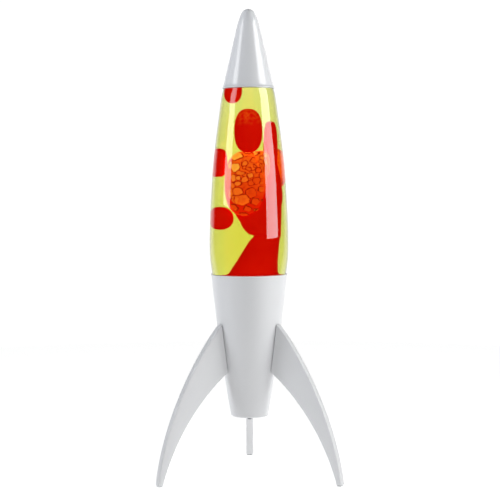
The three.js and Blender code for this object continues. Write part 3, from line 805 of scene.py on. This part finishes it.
def wax_froth():
    """The head on the column's front, its shoulder, and the froth behind the finger at the right."""
    froth("wax_froth_head", (-2, -3.5, 345), (20.6, 19.5, 38), 2.5, 170, BUBBLES, 300, 7)
    froth("wax_froth_shoulder", (11, -2, 367), (9.6, 17, 16.5), 3, 110, SHOULDER_BUBBLES, 90, 5)
    froth("wax_froth_side", (20.8, 12, 361), (9.8, 9.5, 25), 2.3, 72, [], 150, 11)


def heat_coil():
    """A ring of close-wound spring wire on the bottle's floor."""
    low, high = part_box("heat_coil")
    coil_r, turns, steps, wire, sides = 2.2, 70, 14, 0.42, 8
    ring_r = (high.x - low.x) / 2 / MM - coil_r
    middle = (low.z + high.z) / 2 / MM
    count = turns * steps
    points = []
    for i in range(count):
        along, twist = 2 * math.pi * i / count, 2 * math.pi * i / steps
        out = Vector((math.cos(along), math.sin(along), 0))
        up = Vector((0, 0, 1))
        radial = out * math.cos(twist) + up * math.sin(twist)
        centre = out * ring_r + radial * (coil_r - wire) + up * middle
        onwards = Vector((-math.sin(along), math.cos(along), 0))
        ahead = onwards * 0.5 + (up * math.cos(twist) - out * math.sin(twist))
        side = ahead.normalized().cross(radial)
        for k in range(sides):
            angle = 2 * math.pi * k / sides
            points.append(centre + radial * wire * math.cos(angle) + side * wire * math.sin(angle))
    coil = from_arrays("heat_coil_spring", points, ring_faces(count, sides, closed=True))
    face_outwards(coil)
    finish_piece(coil, "bottle", "spring_steel", STEEL, "heat_coil")


# -------------------- base
def base_shell():
    hem_z = BASE_BOTTOM_Z + HEM_ROUND
    hem_centre = (base_radius(hem_z) - HEM_ROUND, hem_z)
    outside = base_side(hem_z, BASE_RIM_Z - 2 * RIM_BEAD_R, 0, 48)
    inside = base_side(hem_z, BASE_RIM_Z - RIM_BEAD_R, -BASE_WALL, 48)[::-1]
    middle_r = base_radius(BASE_RIM_Z) - BASE_WALL + RIM_BEAD_R
    rim = arc((middle_r, BASE_RIM_Z - RIM_BEAD_R), RIM_BEAD_R, -62, 180, 14)[:-1]
    profile = [(FLANGE_INNER_R, BASE_BOTTOM_Z)]
    profile += arc(hem_centre, HEM_ROUND, -90, 0, 10)[:-1] + outside + rim + inside
    profile += [(hem_centre[0], BASE_BOTTOM_Z + BASE_WALL), (FLANGE_INNER_R, BASE_BOTTOM_Z + BASE_WALL)]
    shell = turned("base_cone_shell", profile)
    finish_piece(shell, "base", "satin_white_paint", COAT, "base_shell")


def fin_outline():
    """The fin's edge in (radius, height), without its root. It starts at the root's top."""
    foot_z = lowest("fin_rear")
    outer = bezier([(38, 183.5), (61.7, 159.3), (113.1, 82.5), (FOOT_R, foot_z)], 40)
    centre, radius = (-121.3, -72), 249
    start = math.degrees(math.asin((foot_z - centre[1]) / radius))
    end = math.degrees(math.asin((FIN_ROOT_LOW_Z - centre[1]) / radius))
    inner = arc(centre, radius, start, end, 36)
    inner[0] = (FOOT_R - FOOT_LENGTH, foot_z)
    return outer, inner


def round_edges(shape, edges, radius, steps, **options):
    bmesh.ops.bevel(shape, geom=edges, offset=radius, segments=steps, profile=0.5, affect="EDGES", **options)


def fin_mesh():
    """One fin in its own frame: radius along X, height along Z, and a root that fits the cone."""
    outer, inner = fin_outline()
    root = base_side(128.2, 178.6, GAP, 14)
    outline = [(r, z) for r, z in outer if r > base_radius(z) + GAP + 0.4]
    outline += [(r, z) for r, z in inner if r > base_radius(z) + GAP + 0.4]
    shape = bmesh.new()
    half = FIN_THICKNESS / 2
    corners = [shape.verts.new((r, -half, z)) for r, z in outline + root]
    face = shape.faces.new(corners)
    swept = bmesh.ops.extrude_face_region(shape, geom=[face])
    raised = [g for g in swept["geom"] if isinstance(g, bmesh.types.BMVert)]
    bmesh.ops.translate(shape, verts=raised, vec=(0, FIN_THICKNESS, 0))
    bmesh.ops.recalc_face_normals(shape, faces=shape.faces)
    rims = [e for e in shape.edges if abs(e.verts[0].co.y - e.verts[1].co.y) < 1e-6]
    foot = [e for e in shape.edges if all(abs(v.co.z - lowest("fin_rear")) < 0.01 for v in e.verts)]
    foot = [e for e in foot if e not in rims]
    round_edges(shape, rims + foot, FIN_EDGE_ROUND, 4, clamp_overlap=True)
    for vertex in shape.verts:
        x, y, z = vertex.co
        if x < base_radius(z) + GAP + 0.05:
            vertex.co.x = math.sqrt((base_radius(z) + GAP) ** 2 - y * y)
    bmesh.ops.triangulate(shape, faces=[f for f in shape.faces if len(f.verts) > 4])
    return mesh_from(shape, "fin")


def place_round_axis(mesh, degrees):
    """Turns a mesh in millimetres about the lamp's axis and puts it in place."""
    turn = Matrix.Rotation(math.radians(degrees), 4, "Z")
    mesh.transform(Matrix.Translation(AXIS) @ turn @ Matrix.Scale(MM, 4))


def fins_and_pads():
    fin = fin_mesh()
    for side, degrees in FIN_ANGLES.items():
        mesh = fin.copy()
        place_round_axis(mesh, degrees)
        piece = link(f"curved_fin_{side}", mesh)
        sharpen(piece, 50)
        finish_piece(piece, "base", "satin_white_paint", COAT, f"fin_{side}")
        pad = bmesh.new()
        bmesh.ops.create_cube(pad, size=1)
        thick = highest(f"foot_pad_{side}")
        for vertex in pad.verts:
            vertex.co.x = FOOT_R - FOOT_LENGTH / 2 + vertex.co.x * (FOOT_LENGTH - 2 * PAD_INSET)
            vertex.co.y *= FIN_THICKNESS - 2 * PAD_INSET
            vertex.co.z = (vertex.co.z + 0.5) * thick
        round_edges(pad, pad.edges[:], 0.3, 3)
        pad_mesh = mesh_from(pad, "pad")
        place_round_axis(pad_mesh, degrees)
        pad_piece = link(f"soft_foot_{side}", pad_mesh)
        sharpen(pad_piece)
        finish_piece(pad_piece, "base", "foot_pad", PAD, f"foot_pad_{side}")
    bpy.data.meshes.remove(fin)


def bottle_seat():
    low, high = heights("bottle_seat")
    ledge = BOTTLE_BOTTOM_Z - GAP
    corners = [
        (30, low),
        (base_radius(low) - BASE_WALL - GAP, low),
        (base_radius(high) - BASE_WALL - GAP, high),
        (HEEL_R + GAP, high),
        (HEEL_R - 0.4, ledge),
        (30, ledge),
    ]
    seat = turned("bottle_seat_ring", eased(corners, 0.35), 128)
    finish_piece(seat, "base", "seat_aluminium", ALUMINIUM, "bottle_seat")


# -------------------- fittings under and inside the base
def cut_away(piece, tools):
    """Cuts the tools out of a piece, and removes them."""
    for tool in tools:
        boolean = piece.modifiers.new("cut", "BOOLEAN")
        boolean.operation = "DIFFERENCE"
        boolean.solver = "EXACT"
        boolean.object = tool
    apply_modifiers(piece)
    for tool in tools:
        bpy.data.objects.remove(tool)


def drill(x, y, radius, low, high):
    tool = turned("drill", [(0, low), (radius, low), (radius, high), (0, high)], 32)
    tool.data.transform(Matrix.Translation((x * MM, y * MM, 0)))
    return tool


PLATE_SCREW_ANGLES, PLATE_SCREW_RING_R = (30, 150, 270), 16.2
VENTS, VENT_RING_R = 9, 10.9
TUBE_R, TUBE_BORE_R = 5, 3.9


def bottom_plate():
    low, high = heights("bottom_plate")
    corners = [(TUBE_R + GAP, low), (18.2, low), (18.2, high), (TUBE_R + GAP, high)]
    plate = turned("vented_bottom_plate", eased(corners, 0.25), 128)
    holes = [(VENT_RING_R, 360 / VENTS * (i + 0.5), 1.7) for i in range(VENTS)]
    holes += [(PLATE_SCREW_RING_R, angle, 1.8) for angle in PLATE_SCREW_ANGLES]
    tools = []
    for ring, degrees, radius in holes:
        angle = math.radians(degrees)
        tools.append(drill(ring * math.cos(angle), ring * math.sin(angle), radius, low - 1, high + 1))
    cut_away(plate, tools)
    sharpen(plate)
    finish_piece(plate, "base", "spring_steel", STEEL, "bottom_plate")


def screw_mesh(length):
    """A cross-headed pan screw along +Z in millimetres: its head is below z = 0."""
    head = [(0, -1.8), (1.4, -1.75), (2.3, -1.5), (2.85, -1.0), (3.0, -0.4), (2.95, 0), (1.5, 0)]
    thread = []
    z = 0.5
    while z < length - 1.5:
        thread += [(1.22, z), (1.5, z + 0.3)]
        z += 0.6
    body = turned("screw", head + thread + [(1.2, length - 1.2), (0, length)], 36)
    body.data.transform(Matrix.Scale(1 / MM, 4) @ Matrix.Translation(-AXIS))
    tools = []
    slot_length, slot_width, slot_depth = 3.2, 0.62, 1.6
    for size in ((slot_length, slot_width, slot_depth), (slot_width, slot_length, slot_depth)):
        bar = bmesh.new()
        bmesh.ops.create_cube(bar, size=1)
        bmesh.ops.scale(bar, verts=bar.verts, vec=size)
        bmesh.ops.translate(bar, verts=bar.verts, vec=(0, 0, -1.7))
        tools.append(link("bar", mesh_from(bar, "bar")))
    cut_away(body, tools)
    mesh = body.data
    bpy.data.objects.remove(body)
    return mesh


def screws():
    """All nine screws, each where its CAD node is."""
    places = {}
    for i, degrees in enumerate(PLATE_SCREW_ANGLES):
        up = Matrix.Translation((PLATE_SCREW_RING_R, 0, BASE_BOTTOM_Z - GAP))
        places[f"plate_screw_{i + 1}"] = (6, degrees, up)
    for side, degrees in FIN_ANGLES.items():
        for row, z in (("upper", 164), ("lower", 140)):
            tilt = math.atan(BASE_SLOPE + 2 * BASE_CURVE * (BASE_RIM_Z - z))
            seat = Matrix.Translation((base_radius(z) - BASE_WALL - 2 * GAP, 0, z))
            turn = Matrix.Rotation(math.pi / 2 + tilt, 4, "Y")
            places[f"fin_screw_{side}_{row}"] = (10, degrees, seat @ turn)
    shapes = {length: screw_mesh(length) for length in (6, 10)}
    for node, (length, degrees, place) in places.items():
        mesh = shapes[length].copy()
        mesh.transform(place)
        place_round_axis(mesh, degrees)
        piece = link(f"{node}_steel", mesh)
        sharpen(piece)
        finish_piece(piece, "base", "zinc_plate", ZINC, node)


def hex_nut(node):
    low, high = heights(node)
    face_r, corner_r, chamfer = 7.2, 8.0, 0.35

    def flats(angle, r, z):
        inside = math.cos(math.pi / 6) / math.cos((angle % (math.pi / 3)) - math.pi / 6)
        return (r * inside if r > face_r else r), z

    side = [(face_r, low), (corner_r, low + chamfer), (corner_r, high - chamfer), (face_r, high)]
    corners = [(TUBE_R + GAP, low)] + side + [(TUBE_R + GAP, high)]
    nut = turned(f"{node}_hex", corners, 96, flats, sharp=20)
    finish_piece(nut, "base", "zinc_plate", ZINC, node)


def entry_tube():
    low, high = heights("entry_tube")
    thread = []
    z = low + 0.4
    while z < high - 0.9:
        thread += [(TUBE_R - 0.35, z), (TUBE_R, z + 0.4)]
        z += 0.8
    root_r = TUBE_R - 0.4
    profile = [(TUBE_BORE_R, low), (root_r, low)] + thread + [(root_r, high), (TUBE_BORE_R, high)]
    tube = turned("entry_tube_threaded", profile, 64)
    finish_piece(tube, "base", "zinc_plate", ZINC, "entry_tube")


def cord_inlet():
    low, high = heights("cord_inlet")
    corners = [(2.6, low), (5.4, low), (5.4, low + 1), (3.6, low + 1), (3.6, high), (2.6, high)]
    bush = turned("cord_inlet_bush", eased(corners, 0.35), 64)
    finish_piece(bush, "base", "black_nylon", NYLON, "cord_inlet")


def lampholder():
    low, high = heights("lampholder")
    corners = [
        (TUBE_R + GAP, low),
        (8.2, low),
        (8.2, low + 6),
        (12, low + 9),
        (13, low + 12),
        (13, high - 1),
        (12, high),
        (8.2, high),
        (8.2, low + 13),
        (TUBE_R + GAP, low + 13),
    ]
    profile = eased(corners, 0.6, 4)
    grip = [(13, z) for z in np.linspace(low + 13.5, high - 3, 12)]
    first = next(i for i, (r, z) in enumerate(profile) if z > high - 2)
    profile = profile[:first] + grip + profile[first:]

    def ribs(angle, r, z):
        if r < 12.9 or not low + 15 < z < high - 4:
            return r, z
        return r - 0.45 * (0.5 + 0.5 * math.cos(28 * angle)), z

    holder = turned("lampholder_housing", profile, 28 * 6, ribs)
    finish_piece(holder, "base", "bakelite", BAKELITE, "lampholder")

    low, high = heights("contact_block")
    corners = [(0, low), (7.4, low), (7.6, low + 0.3), (7.6, low + 1.2), (7.3, low + 1.5), (3.2, low + 1.5)]
    block = turned("contact_block_ceramic", corners + [(2.4, high - 0.4), (1.6, high), (0, high)], 64)
    finish_piece(block, "base", "ceramic", CERAMIC, "contact_block")

    low, high = heights("screw_sleeve")
    corners = [(7.2, low), (7.9, low), (7.9, high), (7.2, high)]
    sleeve = turned("screw_sleeve_brass", eased(corners, 0.2), 64)
    finish_piece(sleeve, "base", "brass", BRASS, "screw_sleeve")


# -------------------- bulb
def bulb():
    low, high = heights("bulb_base")
    thread_low, thread_high, pitch = low + 5, high - 3, 2.8
    profile = [(0, low), (1.2, low + 0.05), (2, low + 0.4), (2.2, low + 1)]
    profile += [(4.6, low + 3.6), (6.1, low + 4.6)]
    profile += [(6.6, z) for z in np.linspace(thread_low, thread_high, 48)]
    profile += [(6.4, high - 2), (6.6, high - 0.6), (6.3, high), (0, high)]

    def thread(angle, r, z):
        if not thread_low <= z <= thread_high or r < 6:
            return r, z
        wave = math.cos(2 * math.pi * (z / pitch - angle / (2 * math.pi)))
        ease = min(1.0, (z - thread_low) / 1.5, (thread_high - z) / 1.5)
        return 6.58 + 0.3 * wave * ease, z

    cap = turned("bulb_screw_base", profile, 96, thread)
    finish_piece(cap, "bulb", "brass", BRASS, "bulb_base")

    neck = lowest("bulb_glass")
    side = spline([(6.2, neck), (7.2, neck + 8), (14.5, neck + 24), (22.5, neck + 37), (25, neck + 47)], 10)
    face = spline([(25, neck + 47), (23.2, neck + 53), (14, neck + 58.5), (0, neck + 61)], 8)[1:]
    outside = side + face
    outside[-1] = (0, neck + 61)
    inside = offset(outside, 0.8)[::-1]
    envelope = turned("bulb_envelope", inside + outside, 96)
    finish_piece(envelope, "bulb", "bulb_glass", BULB_GLASS, "bulb_glass")

    low, high = heights("bulb_stem")
    flare = spline([(4.5, low), (2.4, low + 5), (1.9, low + 14), (1.8, low + 26)], 6)
    stem = turned("bulb_glass_stem", [(0, low)] + flare + [(1.2, high - 0.6), (0, high)], 48)
    finish_piece(stem, "bulb", "bulb_glass", GLASS, "bulb_stem")


nose_cap()
cap_shadow_ring()
crown_cap()
crown_liner()
bottle()
liquid()
wax_column()
blobs()
wax_froth()
heat_coil()
base_shell()
fins_and_pads()
bottle_seat()
bottom_plate()
screws()
hex_nut("tube_nut_lower")
hex_nut("tube_nut_upper")
entry_tube()
cord_inlet()
lampholder()
bulb()


# -------------------- studio
PALE = (0.99, 0.995, 1.0)
FLOOR_R, FLOOR_SIDES, FLOOR_Z = 1.3, 96, -0.0002
LIGHT_DISTANCE = 1.0
OVERHEAD_SIZE, OVERHEAD_ENERGY, OVERHEAD_FORWARD, OVERHEAD_Z, OVERHEAD_AIM_Z = 1.6, 6.7, 0.9, 1.7, 0.35
LENS, SHIFT_Y = 101.1, -0.05
EYE_RIGHT, EYE_AWAY, EYE_Z = 0.0015, 1.653, 0.361
EYE_TILT, EYE_ROLL = 2.218, 0.2


def floor():
    """A round white table that glows, about as pale as the backdrop. Gloss and glass don't show it."""
    ring = [2 * math.pi * k / FLOOR_SIDES for k in range(FLOOR_SIDES)]
    mesh = bpy.data.meshes.new("floor")
    points = [(FLOOR_R * math.cos(a), FLOOR_R * math.sin(a), FLOOR_Z) for a in ring]
    mesh.from_pydata(points, [], [range(FLOOR_SIDES)])
    plane = link("studio_floor", mesh)
    material, _, shader = new_material("floor_white")
    settings(shader, base_color=(0.25, 0.25, 0.25, 1), roughness=0.9, specular_ior_level=0.0)
    settings(shader, emission_color=(1, 1, 1, 1), emission_strength=0.95)
    mesh.materials.append(material)
    plane.visible_glossy = False
    plane.visible_transmission = False


def background(tree, color, strength):
    sky = tree.nodes.new("ShaderNodeBackground")
    feed(tree, color, sky.inputs["Color"])
    feed(tree, strength, sky.inputs["Strength"])
    return sky.outputs["Background"]


def chosen(tree, factor, first, second):
    """The first shader where the factor is 0, and the second where it is 1."""
    mix = tree.nodes.new("ShaderNodeMixShader")
    for value, socket in zip((factor, first, second), mix.inputs):
        tree.links.new(value, socket)
    return mix.outputs["Shader"]


def world():
    """A white backdrop behind the lamp and a dark room in front of it. The camera sees plain white, and what
    is seen straight through the glass is white all round."""
    studio = bpy.data.worlds.new("studio")
    bpy.context.scene.world = studio
    studio.use_nodes = True
    tree = studio.node_tree
    tree.nodes.clear()
    place = tree.nodes.new("ShaderNodeTexCoord")
    split = tree.nodes.new("ShaderNodeSeparateXYZ")
    tree.links.new(place.outputs["Generated"], split.inputs["Vector"])
    height = split.outputs["Z"]
    behind = calculated(tree, "MULTIPLY_ADD", height, -0.8, split.outputs["Y"])
    depth = ranged(tree, behind, 0.0, 1.0, 0.55, 0.74)
    rise = ranged(tree, height, 1.1, 1.0, -0.02, 0.1)
    lit = background(tree, PALE, calculated(tree, "MULTIPLY", depth, rise))
    plain = background(tree, (1, 1, 1), 1.05)
    backdrop = background(tree, PALE, 1.27)
    ray = tree.nodes.new("ShaderNodeLightPath")
    bounces = calculated(tree, "ADD", ray.outputs["Diffuse Depth"], ray.outputs["Glossy Depth"])
    unbounced = calculated(tree, "LESS_THAN", bounces, 0.5)
    through = calculated(tree, "MULTIPLY", unbounced, ray.outputs["Is Transmission Ray"])
    room = chosen(tree, through, lit, backdrop)
    seen = chosen(tree, ray.outputs["Is Camera Ray"], room, plain)
    output = tree.nodes.new("ShaderNodeOutputWorld")
    tree.links.new(seen, output.inputs["Surface"])


def area_light(name, place, target, size, energy, tint):
    """A rectangular light that faces a point. The camera and the glass don't show it."""
    light = bpy.data.lights.new(name, "AREA")
    light.shape = "RECTANGLE"
    light.size, light.size_y = size
    light.energy = energy
    light.color = tint
    lamp = bpy.data.objects.new(name, light)
    bpy.context.scene.collection.objects.link(lamp)
    lamp.location = place
    lamp.rotation_euler = (target - place).to_track_quat("-Z", "Y").to_euler()
    lamp.visible_camera = False
    lamp.visible_transmission = False
    return lamp


def upright_light(name, degrees, width, low, high, radiance, tint=(1, 1, 1)):
    """A light that stands beside the lamp. Degrees turn from the camera towards the picture's right."""
    angle = math.radians(degrees)
    x = AXIS.x + LIGHT_DISTANCE * math.sin(angle)
    y = AXIS.y - LIGHT_DISTANCE * math.cos(angle)
    place = Vector((x, y, (low + high) / 2))
    energy = radiance * math.pi * width * (high - low)
    return area_light(name, place, Vector((AXIS.x, AXIS.y, place.z)), (width, high - low), energy, tint)


def softbox(name, degrees, soft_degrees, width, low, high, gloss, soft, tint):
    """A strip light as the gloss shows it, and the soft light that it sheds on matt surfaces, from further
    round."""
    shown = upright_light(f"{name}_gloss", degrees, width, low, high, gloss)
    shown.visible_diffuse = False
    shed = upright_light(f"{name}_soft", soft_degrees, width, low, high, soft, tint)
    shed.visible_glossy = False


def fill_right():
    """A low soft light from the front right. It isn't reflected."""
    fill = upright_light("fill_right", 36, 0.5, 0.0, 0.18, 3.0)
    fill.visible_glossy = False


def overhead():
    """A broad soft light above and in front of the lamp. It isn't reflected."""
    place = Vector((AXIS.x, AXIS.y - OVERHEAD_FORWARD, OVERHEAD_Z))
    target = Vector((AXIS.x, AXIS.y, OVERHEAD_AIM_Z))
    size = (OVERHEAD_SIZE, OVERHEAD_SIZE)
    lamp = area_light("overhead", place, target, size, OVERHEAD_ENERGY, (0.95, 0.97, 1.0))
    lamp.visible_glossy = False


def camera():
    """A long lens at the height of the bottle's middle, tilted a little down."""
    data = bpy.data.cameras.new("camera")
    data.sensor_width = 36
    data.lens = LENS
    data.shift_y = SHIFT_Y
    data.clip_end = 100
    eye = bpy.data.objects.new("camera", data)
    bpy.context.scene.collection.objects.link(eye)
    eye.location = (AXIS.x + EYE_RIGHT, AXIS.y - EYE_AWAY, EYE_Z)
    eye.rotation_euler = (math.radians(90 - EYE_TILT), math.radians(EYE_ROLL), 0)
    bpy.context.scene.camera = eye


floor()
world()
softbox("strip_right", 72, 80, 0.72, 0.262, 1.3, 7.6, 4.2, (0.99, 1.0, 0.995))
softbox("strip_left", -69, -80, 0.45, 0.37, 1.3, 5.8, 5.9, (0.93, 0.955, 1.0))
fill_right()
overhead()
camera()
bpy.context.scene.view_settings.view_transform = "Standard"
